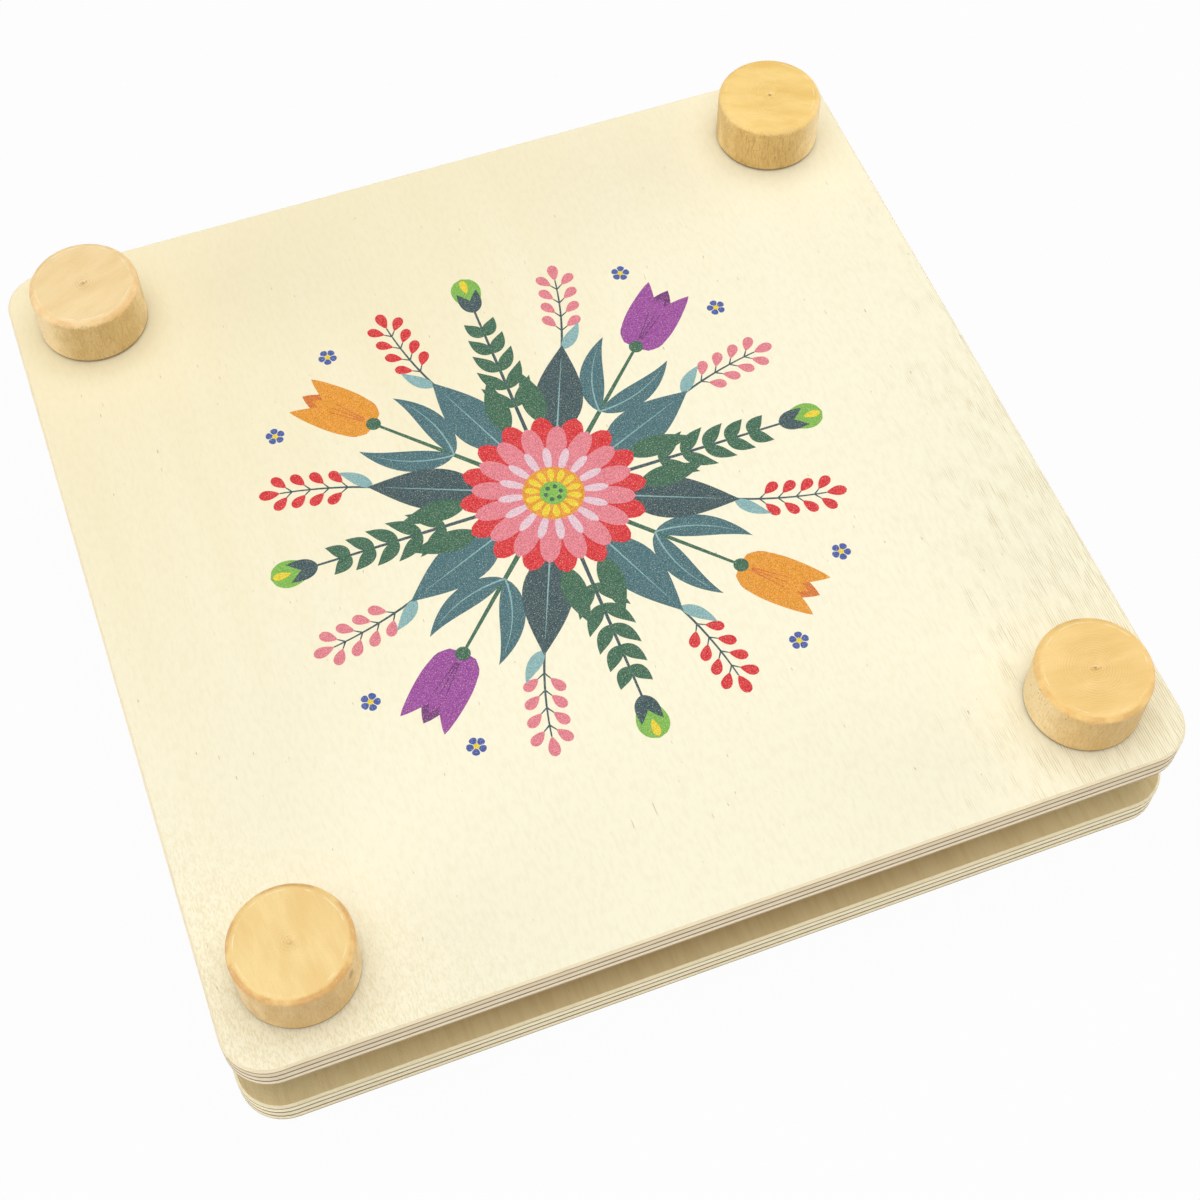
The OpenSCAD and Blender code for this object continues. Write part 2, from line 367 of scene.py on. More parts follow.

# What differs from knob to knob. Headings are degrees in the knob's own frame: its side has painted light,
# palest towards the heading of its lit flank, painted shade and streaks towards the heading of its shaded
# front, and one has a knot at knot_heading
KNOB_STYLES = {
    "front_left": {
        "seed": 3.0, "turn": 96,
        "light": rgb(242, 212, 143), "dark": rgb(233, 197, 124),
        "rim": rgb(214, 158, 86), "rim_share": 0.8,
        "side": rgb(234, 206, 154), "side_dark": rgb(199, 164, 103),
        "lit_flank_heading": 30, "shaded_front_heading": 175, "streak_share": 0.18, "knot_heading": 221,
        "rings_r": 2.4 * MM, "wobble": 0.5, "curl_r": 0.34 * MM, "pit_share": 0.1,
    },
    "front_right": {
        "seed": 14.0, "turn": -8,
        "light": rgb(245, 208, 133), "dark": rgb(236, 196, 116),
        "rim": rgb(224, 172, 98), "rim_share": 0.62,
        "side": rgb(234, 204, 148), "side_dark": rgb(202, 166, 99),
        "lit_flank_heading": 165, "shaded_front_heading": -90, "streak_share": 0.22,
        "rings_r": 8.6 * MM, "wobble": 0.7, "curl_r": 0.62 * MM, "pit_share": 0.45,
    },
    "back_left": {
        "seed": 25.0, "turn": 20,
        "light": rgb(241, 214, 161), "dark": rgb(232, 201, 141),
        "rim": rgb(232, 184, 122), "rim_share": 0.6,
        "side": rgb(234, 207, 151), "side_dark": rgb(190, 159, 97),
        "lit_flank_heading": 150, "shaded_front_heading": -104, "streak_share": 0.3,
        "rings_r": 3.0 * MM, "wobble": 0.9, "curl_r": 0.58 * MM, "pit_share": 0.45,
    },
    "back_right": {
        "seed": 36.0, "turn": -28,
        "light": rgb(246, 211, 130), "dark": rgb(234, 193, 103),
        "rim": rgb(238, 204, 134), "rim_share": 0.5,
        "side": rgb(236, 204, 138), "side_dark": rgb(194, 158, 86),
        "lit_flank_heading": 10, "shaded_front_heading": -88, "streak_share": 0.5,
        "rings_r": 7.6 * MM, "wobble": 3.2, "curl_r": 0.26 * MM, "pit_share": 0.55,
    },
}

# Marks on a knob's top and shoulder, and a painted highlight ring where the top meets the shoulder
KNOB_RING_PITCH = 0.46 * MM
RINGS_FULL_SHARE = 0.3
RIM_LINE_PITCH = 0.3 * MM
# Painted highlight ring where the flat top meets the shoulder
HIGHLIGHT_RING_SHARE = 0.865
HIGHLIGHT_RING_HALF_W = 0.14 * MM
HIGHLIGHT_RING_CORE_HALF_W = 0.03 * MM
CRACK_SHARE = 1.3
CRACK_HALF_W = 0.16 * MM
CRACK_CORE_HALF_W = 0.05 * MM
CRACK_END = 0.1 * MM

# Painted light, painted shade and marks on a knob's side; a zone starts and is full at distances along its
# heading
# Painted light on a knob's lit flank
LIT_FLANK_DRIFT = 6 * MM
LIT_FLANK_START = 5 * MM
LIT_FLANK_FULL = 12 * MM
# Painted shade on the part of a knob's side that faces the front
SHADED_FRONT_DRIFT = 4 * MM
SHADED_FRONT_START = 6 * MM
SHADED_FRONT_FULL = 11 * MM
KNOT_Z = 7.1 * MM
KNOT_R = 1.3 * MM
KNOT_CORE_R = KNOT_R * 0.4
KNOT_FADE = 1.0 * MM
KNOT_TALL_SHARE = 1.4
KNOT_RAGGED = 0.5 * MM
KNOT_SHARE = 0.55
# Painted shade line at a knob's foot: the heights where it starts and where it is full
FOOT_SHADE_START = 0.62 * MM
FOOT_SHADE_FULL = 0.44 * MM


def along(finish, x, y, heading):
    """Distance from the axis along a heading in degrees."""
    angle = math.radians(heading)
    return finish.plus(finish.times(x, math.cos(angle)), finish.times(y, math.sin(angle)))


def reach_of(finish, x, y, flatness=1.0):
    """Distance from the axis, or with some flatness an oval one."""
    flat_y = finish.over(y, flatness)
    return finish.calc("SQRT", finish.plus(finish.times(x, x), finish.times(flat_y, flat_y)))


def knob_face(finish, style, reach, radius):
    """Colour and height of a knob's top: growth bands, turning rings and a painted highlight ring near the
    edge, slightly raised in the bump.
    """
    seed = style["seed"]
    growth = finish.noise(3 * MM, stretch=(3, 1, 6), detail=2, seed=seed)
    grain = finish.noise(0.2 * MM, stretch=(12, 1, 16), detail=2, seed=seed + 1)
    speck = finish.noise(0.16 * MM, detail=2, seed=seed + 2)
    patch = finish.noise(2.4 * MM, detail=2, seed=seed + 15)
    wobble = finish.noise(1.6 * MM, detail=1, seed=seed + 17)
    shifted = finish.plus(reach, finish.times(wobble, style["wobble"] * KNOB_RING_PITCH))
    ring = finish.times(finish.waves(shifted, KNOB_RING_PITCH), finish.level(patch, 0.3, 0.6))
    ring = finish.times(ring, finish.level(reach, style["rings_r"], style["rings_r"] * RINGS_FULL_SHARE))
    # Painted highlight ring near the edge, in patches, slightly raised in the bump
    off_highlight_ring = finish.calc("ABSOLUTE", finish.minus(reach, radius * HIGHLIGHT_RING_SHARE))
    highlight_ring = finish.level(off_highlight_ring, HIGHLIGHT_RING_HALF_W, HIGHLIGHT_RING_CORE_HALF_W)
    highlight_ring = finish.times(highlight_ring, finish.level(patch, 0.46, 0.66))
    colour = finish.blend(finish.level(growth, 0.3, 0.75), style["light"], style["dark"])
    colour = finish.tint(colour, KNOB_OCHRE, where=finish.level(grain, 0.5, 0.75), share=0.16)
    colour = finish.tint(colour, KNOB_OCHRE, where=finish.level(speck, 0.48, 0.74), share=0.24)
    colour = finish.tint(colour, KNOB_BROWN, where=ring, share=0.18)
    # Painted highlight on that ring
    colour = finish.tint(colour, KNOB_PALE, where=highlight_ring, share=0.6)
    return colour, finish.minus(finish.times(highlight_ring, 1.2), finish.times(ring, 0.6))


def knot_on_side(finish, place, heading, ragged):
    """1 in a small upright knot on a knob's side, 0 away from it."""
    x, y, z = place
    across = along(finish, x, y, heading + 90)
    off_knot = reach_of(finish, across, finish.minus(z, KNOT_Z), KNOT_TALL_SHARE)
    off_knot = finish.plus(off_knot, finish.times(ragged, KNOT_RAGGED))
    facing = finish.level(along(finish, x, y, heading), 0.0, KNOT_FADE)
    return finish.times(finish.level(off_knot, KNOT_R, KNOT_CORE_R), facing)


def knob_side(finish, style, place):
    """Colour and height of a knob's side: clouds, upright fibres, pits in patches, painted light on one
    flank, painted shade towards the front and a painted shade line at the foot.
    """
    seed = style["seed"]
    x, y, z = place
    cloud = finish.noise(2.6 * MM, stretch=(1, 1, 3), detail=2, seed=seed + 5)
    fibre = finish.noise(0.18 * MM, stretch=(1, 1, 8), detail=3, seed=seed + 3)
    speck = finish.noise(0.24 * MM, stretch=(1, 1, 1.6), detail=3, seed=seed + 11)
    pit = finish.noise(0.3 * MM, stretch=(1, 1, 1.8), detail=1, seed=seed + 31)
    patch = finish.noise(3 * MM, detail=1, seed=seed + 33)
    streak = finish.noise(0.3 * MM, stretch=(1, 1, 7), detail=2, seed=seed + 39)
    # Painted light, palest towards one heading, and painted shade, darkest towards the front
    towards_lit_flank = along(finish, x, y, style["lit_flank_heading"])
    lit_flank = finish.level(finish.plus(towards_lit_flank, finish.times(cloud, LIT_FLANK_DRIFT)), LIT_FLANK_START, LIT_FLANK_FULL)
    towards_shaded_front = along(finish, x, y, style["shaded_front_heading"])
    shaded_front = finish.level(finish.plus(towards_shaded_front, finish.times(patch, SHADED_FRONT_DRIFT)), SHADED_FRONT_START, SHADED_FRONT_FULL)
    streaks = finish.times(finish.level(streak, 0.46, 0.66), style["streak_share"])
    pits = finish.times(finish.level(pit, 0.66, 0.74), finish.level(patch, 0.46, 0.6))
    clouds = finish.level(cloud, 0.36, 0.66)
    colour = finish.tint(style["side"], style["side_dark"], where=clouds, share=0.6)
    # Painted light on the lit flank
    colour = finish.tint(colour, KNOB_SIDE_LIT_FLANK, where=lit_flank, share=0.8)
    # Painted shade towards the front, with darker streaks in it below
    colour = finish.tint(colour, style["side_dark"], where=shaded_front, share=0.6)
    colour = finish.tint(colour, KNOB_BROWN, where=finish.level(fibre, 0.45, 0.75), share=0.28)
    colour = finish.tint(colour, KNOB_BROWN, where=finish.level(speck, 0.5, 0.72), share=0.3)
    colour = finish.tint(colour, KNOB_BROWN, where=shaded_front, share=streaks)
    colour = finish.tint(colour, KNOB_PIT, where=pits, share=0.6)
    if "knot_heading" in style:
        knot = knot_on_side(finish, place, style["knot_heading"], speck)
        colour = finish.tint(colour, KNOB_PIT, where=knot, share=KNOT_SHARE)
    # Painted shade line at the foot, where the knob meets the board
    colour = finish.tint(colour, KNOB_CRACK_AND_FOOT_SHADE, where=finish.level(z, FOOT_SHADE_START, FOOT_SHADE_FULL), share=0.8)
    return colour, finish.minus(finish.plus(fibre, speck), pits)


def knob_rim(finish, style, colour, reach, z, level, shoulder):
    """The rounded shoulder: its own tint in patches, with fine turned lines and crumbs of paler wood."""
    seed = style["seed"]
    patch = finish.noise(2.8 * MM, detail=2, seed=seed + 19)
    crumb = finish.noise(0.3 * MM, detail=3, seed=seed + 27)
    inside = finish.plus(level, finish.times(crumb, 0.1))
    rim = finish.times(finish.level(shoulder, 0.0, 0.4), finish.level(inside, 1.05, 0.88))
    rim = finish.times(rim, finish.level(patch, 0.26, 0.66))
    line = finish.waves(finish.minus(reach, z), RIM_LINE_PITCH)
    dark = finish.times(rim, finish.times(line, finish.level(patch, 0.4, 0.6)))
    pale = finish.times(rim, finish.level(crumb, 0.6, 0.7))
    colour = finish.tint(colour, style["rim"], where=rim, share=style["rim_share"])
    colour = finish.tint(colour, KNOB_BROWN, where=dark, share=style["rim_share"] * 0.6)
    return finish.tint(colour, KNOB_PALE, where=pale, share=0.4)


def knob_middle(finish, style, colour, reach, x, y):
    """The pit in the middle of a knob's top, with a crack along the curl of fibre that tore."""
    pit = finish.level(reach, PIT_R, PIT_DARK_R)
    colour = finish.tint(colour, KNOB_PIT, where=pit, share=style["pit_share"])
    oval = reach_of(finish, x, y, CURL_FLATNESS)
    off_crack = finish.calc("ABSOLUTE", finish.minus(oval, style["curl_r"] * CRACK_SHARE))
    crack = finish.level(off_crack, CRACK_HALF_W, CRACK_CORE_HALF_W)
    crack = finish.times(crack, finish.level(y, 0.0, -CRACK_END))
    return finish.tint(colour, KNOB_CRACK_AND_FOOT_SHADE, where=crack, share=style["pit_share"])


def knob_wood(corner, radius):
    """Turned wood: rings and a painted highlight ring on top, a tinted shoulder, upright fibres and painted
    light and shade on the side.
    """
    style = KNOB_STYLES[corner]
    finish = Finish(f"knob_wood_{corner}", roughness=0.5)
    x, y, z = finish.parts(finish.place)
    reach = reach_of(finish, x, y)
    level = finish.facing_up()
    ragged = finish.noise(0.4 * MM, stretch=(1, 1, 1.4), detail=4, seed=style["seed"] + 21)
    shoulder = finish.plus(level, finish.minus(ragged, 0.5))
    face, face_height = knob_face(finish, style, reach, radius)
    side, side_height = knob_side(finish, style, (x, y, z))
    colour = finish.blend(finish.level(shoulder, 0.0, 0.7), side, face)
    colour = knob_rim(finish, style, colour, reach, z, level, shoulder)
    finish.set("Base Color", knob_middle(finish, style, colour, reach, x, y))
    finish.bump(finish.plus(face_height, side_height), 0.03 * MM)
    return finish.material


def torn_wood():
    """Pale fresh fibre of the curl in the middle of a knob."""
    finish = Finish("torn_wood", roughness=0.6)
    fibre = finish.noise(0.12 * MM, stretch=(1, 1, 3), detail=2)
    finish.set("Base Color", finish.blend(finish.level(fibre, 0.4, 0.7), TORN_WOOD, TORN_WOOD_DARK))
    finish.bump(fibre, 0.02 * MM)
    return finish.material


# Colours of the metals, the cards and the sheets
ZINC = rgb(206, 208, 210)
ZINC_DARK = rgb(176, 178, 182)
BRASS = rgb(214, 178, 98)
BRASS_DARK = rgb(188, 150, 76)
KRAFT = rgb(196, 156, 112)
KRAFT_DARK = rgb(178, 138, 95)
KRAFT_FLECK = rgb(140, 104, 68)
PAPER = rgb(243, 240, 228)
PAPER_DARK = rgb(233, 228, 212)
PAPER_FELT = rgb(214, 207, 188)


def metal(name, light, dark, roughness):
    """Metal with a faint cloudiness and fine drawing marks along it."""
    finish = Finish(name, roughness=roughness, metallic=1.0)
    cloud = finish.noise(2 * MM, detail=3)
    marks = finish.noise(0.1 * MM, stretch=(1, 1, 12), detail=2, seed=3)
    finish.set("Base Color", finish.blend(finish.level(cloud, 0.35, 0.7), light, dark))
    finish.set("Roughness", finish.plus(finish.times(cloud, 0.2), roughness - 0.1))
    finish.bump(marks, 0.01 * MM)
    return finish.material


def kraft_card():
    """Brown corrugated card: clouded paper with darker flecks."""
    finish = Finish("kraft_card", roughness=0.85)
    fleck = finish.noise(0.35 * MM, stretch=(1, 3, 1), detail=3)
    cloud = finish.noise(7 * MM, detail=2, seed=5)
    colour = finish.blend(finish.level(cloud, 0.35, 0.7), KRAFT, KRAFT_DARK)
    finish.set("Base Color", finish.blend(finish.level(fleck, 0.6, 0.75), colour, KRAFT_FLECK))
    finish.bump(fleck, 0.03 * MM)
    return finish.material


def blotting_paper():
    """Soft unsized paper, off-white with felted fibres."""
    finish = Finish("blotting_paper", roughness=0.95)
    felt = finish.noise(0.25 * MM, detail=4)
    cloud = finish.noise(9 * MM, detail=2, seed=4)
    colour = finish.blend(finish.level(cloud, 0.35, 0.7), PAPER, PAPER_DARK)
    finish.set("Base Color", finish.blend(finish.level(felt, 0.6, 0.8), colour, PAPER_FELT))
    finish.bump(felt, 0.06 * MM)
    return finish.material


INK_DEEP_SHARE = 0.7
INK_PALE_SHARE = 0.06


def ink(name, colour):
    """Printed ink on veneer: two fine tones, with specks of the wood showing through."""
    finish = Finish(f"ink_{name}", roughness=0.55, specular=0.2)
    wood, wood_height = veneer(finish, LID_SEED)
    speck = finish.noise(0.14 * MM, detail=1, seed=2)
    gap = finish.noise(0.2 * MM, detail=0, seed=9)
    deep = [share * INK_DEEP_SHARE for share in colour[:3]] + [1.0]
    pale = [share + (1 - share) * INK_PALE_SHARE for share in colour[:3]] + [1.0]
    body = finish.blend(finish.level(speck, 0.38, 0.62), deep, pale)
    finish.set("Base Color", finish.tint(body, wood, where=finish.level(gap, 0.66, 0.78), share=0.4))
    finish.bump(finish.plus(wood_height, speck), 0.02 * MM)
    return finish.material


def mesh_object(name, build):
    """A mesh object that build fills, with its normals made consistent."""
    mesh = bpy.data.meshes.new(name)
    shape = bmesh.new()
    build(shape)
    bmesh.ops.remove_doubles(shape, verts=shape.verts, dist=1e-7)
    bmesh.ops.recalc_face_normals(shape, faces=shape.faces)
    shape.to_mesh(mesh)
    shape.free()
    piece = bpy.data.objects.new(name, mesh)
    bpy.context.scene.collection.objects.link(piece)
    return piece


def revolve(shape, profile, steps):
    """Turns a profile of (radius, height) about Z; it starts and ends on the axis."""
    rings = []
    for radius, height in profile:
        if radius == 0:
            rings.append([shape.verts.new((0, 0, height))] * steps)
            continue
        turns = [2 * math.pi * i / steps for i in range(steps)]
        rings.append([shape.verts.new((radius * math.cos(a), radius * math.sin(a), height)) for a in turns])
    for lower, upper in zip(rings, rings[1:]):
        for i in range(steps):
            j = (i + 1) % steps
            corners = list(dict.fromkeys((lower[i], lower[j], upper[j], upper[i])))
            shape.faces.new(corners)


def shade_smooth_by_angle(piece, degrees):
    """Smooth shading, but for edges sharper than an angle."""
    piece.data.shade_smooth()
    shape = bmesh.new()
    shape.from_mesh(piece.data)
    for edge in shape.edges:
        edge.smooth = edge.calc_face_angle(0) < math.radians(degrees)
    shape.to_mesh(piece.data)
    shape.free()


def knob_profile(radius, height):
    """Profile of a knob: blind bore, eased foot, rounded shoulder, dished top and central pit."""
    points = [
        (0, KNOB_BORE_END), (KNOB_BORE_R, KNOB_BORE_END), (KNOB_BORE_R, KNOB_FLANGE_END),
        (KNOB_FLANGE_R, KNOB_FLANGE_END), (KNOB_FLANGE_R, 0),
        (radius - KNOB_EASING, 0), (radius, KNOB_EASING), (radius, height / 2),
    ]
    for i in range(ROUNDING_STEPS + 1):
        angle = math.pi / 2 * i / ROUNDING_STEPS
        points.append((
            radius - KNOB_ROUNDING * (1 - math.cos(angle)),
            height - KNOB_ROUNDING * (1 - math.sin(angle)),
        ))
    points += [
        (DISH_R, height - KNOB_DISH), (PIT_R, height - KNOB_DISH),
        (PIT_FLOOR_R, height - PIT_DEPTH), (0, height - PIT_DEPTH),
    ]
    return points


def add_curl(shape, low_z, high_z, radius):
    """A flat curl of fibre that tore where the turning ended, thick in the middle and thin at its ends."""
    rings = []
    for i in range(CURL_STEPS + 1):
        share = i / CURL_STEPS
        angle = CURL_TURN * share
        reach = radius * (1 + CURL_CLOSING_SHARE * (0.5 - share))
        swelling = CURL_END_SHARE + (1 - CURL_END_SHARE) * math.sin(math.pi * share)
        size = radius * CURL_THICKNESS_SHARE * swelling
        middle_z = low_z + (high_z - low_z - size) * share
        middle = Vector((reach * math.cos(angle), CURL_FLATNESS * reach * math.sin(angle), middle_z))
        outward = Vector((math.cos(angle), math.sin(angle), 0))
        ring = []
        for k in range(CURL_SIDES):
            turn = 2 * math.pi * k / CURL_SIDES
            offset = outward * math.cos(turn) * size * CURL_FLATNESS + Vector((0, 0, size * math.sin(turn)))
            ring.append(shape.verts.new(middle + offset))
        rings.append(ring)
    for lower, upper in zip(rings, rings[1:]):
        for k in range(CURL_SIDES):
            j = (k + 1) % CURL_SIDES
            shape.faces.new((lower[k], lower[j], upper[j], upper[k]))
    shape.faces.new(rings[0][::-1])
    shape.faces.new(rings[-1])


def make_knob(corner, curl_finish):
    """A turned knob with the curl in its middle."""
    style = KNOB_STYLES[corner]
    low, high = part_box(f"knob_{corner}")
    radius = (high.x - low.x) / 2
    height = high.z - low.z - KNOB_NIB_H
    knob = mesh_object(
        f"turned_knob_{corner}", lambda shape: revolve(shape, knob_profile(radius, height), KNOB_STEPS)
    )
    curl = mesh_object(
        f"curl_{corner}",
        lambda shape: add_curl(shape, height - PIT_DEPTH, height + KNOB_NIB_H, style["curl_r"]),
    )
    x, y = corner_axis(corner)
    for piece, finish in ((knob, knob_wood(corner, radius)), (curl, curl_finish)):
        shade_smooth_by_angle(piece, KNOB_SMOOTH_ANGLE)
        piece.location = (x, y, low.z)
        piece.rotation_euler.z = math.radians(style["turn"])
        piece.data.materials.append(finish)
        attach(piece, f"turner_{corner}")
    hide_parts(f"knob_{corner}")


# Bolt: the head and neck of its solid, and the thread that this script adds
THREAD_R = 3.0 * MM
THREAD_ROOT_R = 2.45 * MM
THREAD_PITCH = 1.0 * MM
ROWS_PER_TURN = 6
BOLT_STEPS = 48
BOLT_NECK_W = 6.4 * MM
BOLT_RIM_T = 0.8 * MM
BOLT_HEAD_T = 2.2 * MM
BOLT_LEAD = 0.8 * MM
BOLT_SMOOTH_ANGLE = 35
NECK_CLEARANCE = 0.1 * MM
DOME_STEPS = 12


def add_head(shape, radius, low_z):
    """Domed head with a straight rim, crown down."""
    dome_h = BOLT_HEAD_T - BOLT_RIM_T
    dome_r = (radius * radius + dome_h * dome_h) / (2 * dome_h)
    profile = []
    for i in range(DOME_STEPS + 1):
        r = radius * i / DOME_STEPS
        profile.append((r, low_z + dome_r - math.sqrt(dome_r * dome_r - r * r)))
    profile += [(radius, low_z + BOLT_HEAD_T), (0, low_z + BOLT_HEAD_T)]
    revolve(shape, profile, BOLT_STEPS)


def add_neck(shape, low_z, high_z):
    """Square neck under the head."""
    size = Vector((BOLT_NECK_W, BOLT_NECK_W, high_z - low_z))
    place = Matrix.Translation((0, 0, (low_z + high_z) / 2)) @ Matrix.Diagonal((*size, 1))
    bmesh.ops.create_cube(shape, size=1, matrix=place)


def thread_radius(row, z, low_z, high_z):
    """Radius on one row of the helix; the thread fades towards the tip, and past the ends it is a root."""
    crest = 1 - abs(2 * ((row / ROWS_PER_TURN) % 1) - 1)
    lead = max(0.0, min(1.0, (high_z - z) / BOLT_LEAD)) if low_z < z < high_z else 0.0
    return THREAD_ROOT_R + (THREAD_R - THREAD_ROOT_R) * crest * lead


def add_thread(shape, low_z, high_z):
    """Threaded shank: rows of points follow the helix and are held between the two ends."""
    first = -ROWS_PER_TURN
    last = math.ceil((high_z - low_z) / THREAD_PITCH) * ROWS_PER_TURN
    rows = []
    for row in range(first, last + 1):
        ring = []
        for i in range(BOLT_STEPS):
            angle = 2 * math.pi * i / BOLT_STEPS
            z = low_z + THREAD_PITCH * (row / ROWS_PER_TURN + i / BOLT_STEPS)
            radius = thread_radius(row, z, low_z, high_z)
            z = max(low_z, min(high_z, z))
            ring.append(shape.verts.new((radius * math.cos(angle), radius * math.sin(angle), z)))
        rows.append(ring)
    for lower, upper in zip(rows, rows[1:]):
        for i in range(BOLT_STEPS - 1):
            shape.faces.new((lower[i], lower[i + 1], upper[i + 1], upper[i]))
    for row in range(len(rows) - 1 - ROWS_PER_TURN):
        here, above = rows[row], rows[row + 1]
        next_turn, next_above = rows[row + ROWS_PER_TURN], rows[row + 1 + ROWS_PER_TURN]
        shape.faces.new((here[-1], next_turn[0], next_above[0], above[-1]))


def make_bolt(corner, finish):
    """A coach bolt with its head in the lower board."""
    low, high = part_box(f"bolt_{corner}")
    head_r = (high.x - low.x) / 2
    neck_top = base_high.z - NECK_CLEARANCE

    def build(shape):
        add_head(shape, head_r, 0)
        add_neck(shape, BOLT_HEAD_T / 2, neck_top - low.z)
        add_thread(shape, BOLT_HEAD_T / 2, high.z - low.z)

    piece = mesh_object(f"coach_bolt_{corner}", build)
    shade_smooth_by_angle(piece, BOLT_SMOOTH_ANGLE)
    x, y = corner_axis(corner)
    piece.location = (x, y, low.z)
    piece.data.materials.append(finish)
    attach(piece, "base")
    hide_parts(f"bolt_{corner}")


# The printed design, in millimetres about its centre: tulips and sprigs all round a sunny blossom
PRINT_CENTRE = (-0.8 * MM, 1.6 * MM)
PRINT_GAP = 0.004 * MM
PRINT_STEP = 0.0015 * MM
INKS = {
    "teal": rgb(66, 112, 118),
    "slate": rgb(52, 80, 84),
    "green": rgb(52, 104, 74),
    "mist": rgb(142, 186, 186),
    "purple": rgb(162, 70, 160),
    "plum": rgb(120, 44, 120),
    "orange": rgb(242, 158, 20),
    "amber": rgb(226, 120, 24),
    "blush": rgb(242, 208, 218),
    "salmon": rgb(238, 132, 144),
    "yellow": rgb(248, 218, 28),
    "lime": rgb(132, 192, 70),
    "red": rgb(226, 34, 42),
    "blue": rgb(66, 90, 168),
}
SPINE_STEPS = 16
DOT_STEPS = 24
STEM_TAPER_SHARE = 0.45
RIB_SHARE = 0.84
RIB_TAPER = 0.14
RIB_END = 0.03


def polar(at, heading, distance):
    """The point at a distance from another one, along a heading in degrees."""
    angle = math.radians(heading)
    return at[0] + distance * math.cos(angle), at[1] + distance * math.sin(angle)


# Forms of shapes: how wide one is at a share of the way along, as a share of its widest
def leaf_form(share):
    return math.sin(math.pi * share**0.75)


def petal_form(share):
    return math.sqrt(math.sin(math.pi * share**1.5))


def cup_form(share):
    return math.sin(math.pi * share**0.55) ** 0.8


class Print:
    """Flat shapes of ink; each lies above the earlier ones that it may meet."""

    def __init__(self):
        self.shapes = []

    def add(self, name, outline):
        xs = [x for x, _ in outline]
        ys = [y for _, y in outline]
        box = min(xs), min(ys), max(xs), max(ys)
        below = [
            layer for _, _, layer, (x0, y0, x1, y1) in self.shapes
            if x0 < box[2] and box[0] < x1 and y0 < box[3] and box[1] < y1
        ]
        self.shapes.append((name, outline, 1 + max(below, default=-1), box))

    def spine(self, at, heading, length, bend=0.0):
        """Points and headings along an arc from a point; bend is how far it turns, in degrees."""
        x, y = at
        points = []
        for i in range(SPINE_STEPS + 1):
            angle = math.radians(heading + bend * i / SPINE_STEPS)
            points.append((x, y, angle))
            x += length / SPINE_STEPS * math.cos(angle)
            y += length / SPINE_STEPS * math.sin(angle)
        return points

    def strip(self, name, spine, reach):
        """A shape on both sides of a spine; reach gives its half width for a share of the way along."""
        left, right = [], []
        for i, (x, y, angle) in enumerate(spine):
            offset = reach(i / (len(spine) - 1))
            across = (-math.sin(angle) * offset, math.cos(angle) * offset)
            left.append((x + across[0], y + across[1]))
            right.append((x - across[0], y - across[1]))
        self.add(name, left + right[::-1])

    def stem(self, name, at, heading, length, width, bend=0.0):
        """A tapered stem; gives its spine back, for what grows on it."""
        spine = self.spine(at, heading, length, bend)
        self.strip(name, spine, lambda share: width / 2 * (1 - STEM_TAPER_SHARE * share))
        return spine

    def leaf(self, name, at, heading, length, width, bend=0.0, rib=None):
        """A pointed leaf, with a middle rib in another ink if rib names one."""
        spine = self.spine(at, heading, length, bend)
        self.strip(name, spine, lambda share: width / 2 * leaf_form(share))
        if rib:
            middle = self.spine(at, heading, length * RIB_SHARE, bend * RIB_SHARE)
            self.strip(rib, middle, lambda share: RIB_TAPER * (1 - share) + RIB_END)

    def petal(self, name, at, heading, length, width, form=petal_form):
        self.strip(name, self.spine(at, heading, length), lambda share: width / 2 * form(share))

    def dot(self, name, at, radius):
        turns = [360 * i / DOT_STEPS for i in range(DOT_STEPS)]
        self.add(name, [polar(at, turn, radius) for turn in turns])

    def ring(self, name, at, count, start, end, width, turn=0.0):
        """Petals all round a point, from one radius to another."""
        for i in range(count):
            heading = turn + 360 * i / count
            self.petal(name, polar(at, heading, start), heading, end - start, width)

    def fill(self, name):
        """A function that adds one ink's shapes to a mesh, each a very thin prism."""
        low_z = lid_high.z + PRINT_GAP

        def build(shape):
            for ink_name, outline, layer, _ in self.shapes:
                if ink_name != name:
                    continue
                high_z = low_z + PRINT_STEP * (layer + 1)
                points = [(PRINT_CENTRE[0] + x * MM, PRINT_CENTRE[1] + y * MM) for x, y in outline]
                lower = [shape.verts.new((x, y, low_z)) for x, y in points]
                upper = [shape.verts.new((x, y, high_z)) for x, y in points]
                shape.faces.new(upper)
                shape.faces.new(lower[::-1])
                for i in range(len(points)):
                    j = (i + 1) % len(points)
                    shape.faces.new((lower[i], lower[j], upper[j], upper[i]))

        return build


# Centre of the design, and the distances from it at which its parts start
CENTRE = (0, 0)
STEM_START = 12
LARGE_LEAF_START = 12
SMALL_LEAF_START = 15
TULIP_LEAF_START = 19
TULIP_START = 34.5
LEAFLET_START = 19.5
LEAFLET_PITCH = 4.2
BUD_START = 42
TWIG_START = 30
TWIG_LEAF_START = 31
STAR_START = 50

# Angles from a stem to what grows beside it, in degrees
SMALL_LEAF_OFFSET = 11
SMALL_LEAF_ANGLE = 17
TULIP_LEAF_ANGLE = 44
TULIP_PETAL_ANGLE = 15
VEIN_ANGLE = 7
LEAFLET_ANGLE = 46
SEPAL_ANGLE = 24
BERRY_ANGLE = 46
TWIG_LEAF_ANGLE = 34
STAR_OFFSET = 11.5

# Inks that take turns round the design; a tulip has one for its petals and one inside
TULIP_INKS = (("purple", "plum"), ("orange", "amber"))
BERRY_INKS = ("salmon", "red")
LEAF_INKS = ("teal", "slate")


